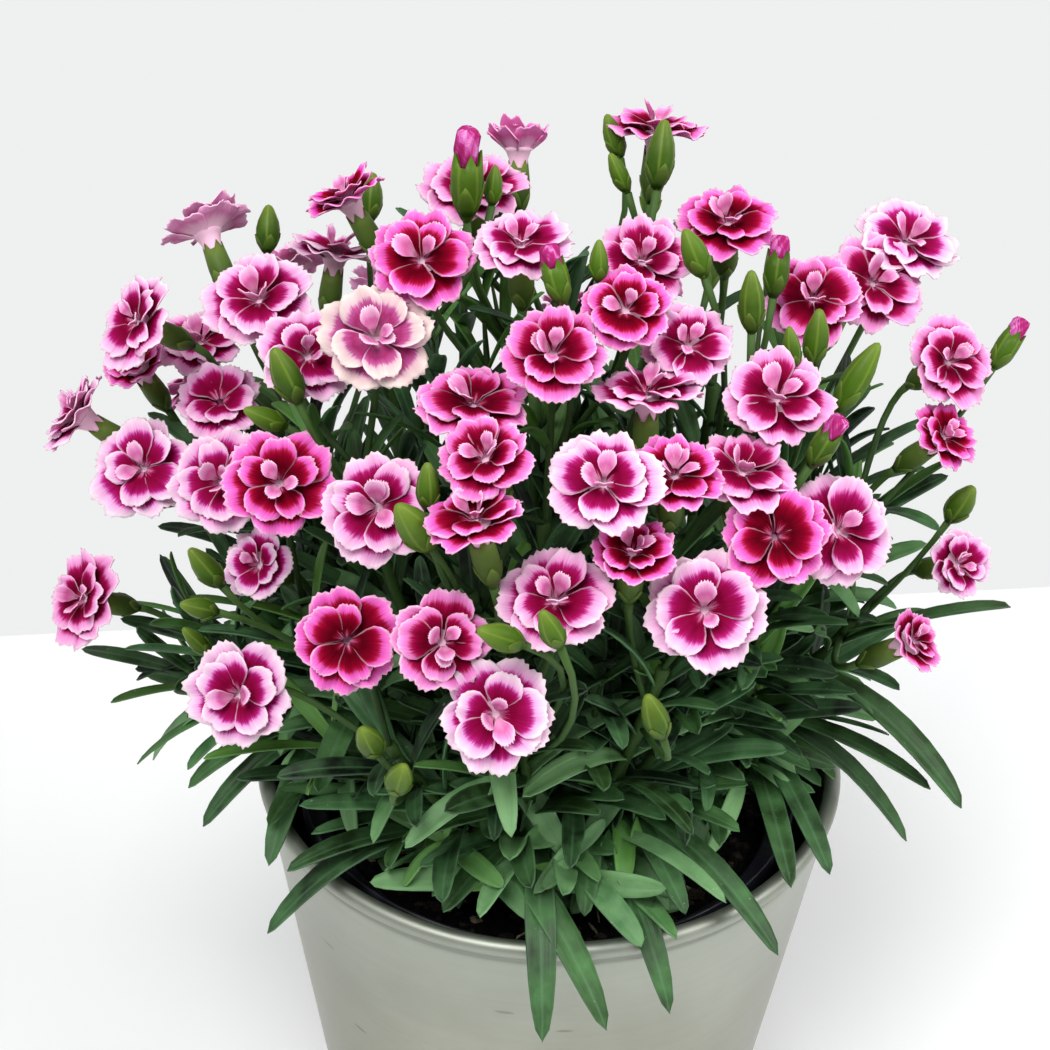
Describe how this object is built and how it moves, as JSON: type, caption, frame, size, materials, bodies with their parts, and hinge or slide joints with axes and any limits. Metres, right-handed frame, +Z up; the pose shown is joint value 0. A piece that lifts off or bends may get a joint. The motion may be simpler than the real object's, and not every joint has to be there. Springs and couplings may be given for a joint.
{
  "type": "potted dianthus plant",
  "caption": "Bushy dianthus in flower, with frilled two-tone blooms, buds and narrow blue-green leaves, in a plastic nursery pot set in a tapered zinc bucket.",
  "frame": {"origin": "middle of the bucket's underside", "axes": "+Z up, -Y towards the side of the plant with the most flowers, +X to the right as seen from there"},
  "size_m": [0.2863, 0.2341, 0.3844],
  "materials": {
    "zinc_sheet": "satin galvanised sheet, lightly scratched",
    "black_plastic": "semi-gloss injection-moulded plastic",
    "peat_soil": "loose moist peat with fine bark",
    "leaf_green": "waxy blue-green leaf and stem",
    "petal_pink": "velvety petal, crimson inside and pink to white at the margin"
  },
  "bodies": {
    "root": {"planter_bucket": "zinc_sheet", "nursery_pot": "black_plastic", "potting_soil": "peat_soil", "plant_front": "leaf_green", "plant_left": "leaf_green", "plant_right": "leaf_green", "bloom_01": "petal_pink", "bloom_02": "petal_pink", "bloom_03": "petal_pink", "bloom_04": "petal_pink", "bloom_05": "petal_pink", "bloom_06": "petal_pink", "bloom_07": "petal_pink", "bloom_08": "petal_pink", "bloom_09": "petal_pink", "bloom_10": "petal_pink", "bloom_11": "petal_pink", "bloom_12": "petal_pink", "bloom_13": "petal_pink", "bloom_14": "petal_pink", "bloom_15": "petal_pink", "bloom_16": "petal_pink", "bloom_18": "petal_pink", "bloom_19": "petal_pink", "bloom_20": "petal_pink", "bloom_21": "petal_pink", "bloom_22": "petal_pink", "bloom_23": "petal_pink", "bloom_24": "petal_pink", "bloom_26": "petal_pink", "bloom_27": "petal_pink", "bloom_28": "petal_pink", "bloom_30": "petal_pink", "bloom_29": "petal_pink", "bloom_32": "petal_pink", "bloom_34": "petal_pink", "bloom_35": "petal_pink", "bloom_17": "petal_pink", "bloom_25": "petal_pink", "bloom_38": "petal_pink", "bloom_39": "petal_pink", "bloom_33": "petal_pink", "bloom_42": "petal_pink", "bloom_43": "petal_pink", "bloom_44": "petal_pink", "bloom_45": "petal_pink", "bloom_46": "petal_pink", "bloom_47": "petal_pink", "bloom_48": "petal_pink", "bloom_49": "petal_pink", "bloom_51": "petal_pink", "bloom_52": "petal_pink", "bloom_53": "petal_pink", "bloom_54": "petal_pink", "bloom_55": "petal_pink", "bloom_56": "petal_pink", "bloom_57": "petal_pink", "bloom_58": "petal_pink", "bloom_59": "petal_pink"}
  },
  "joints": []
}
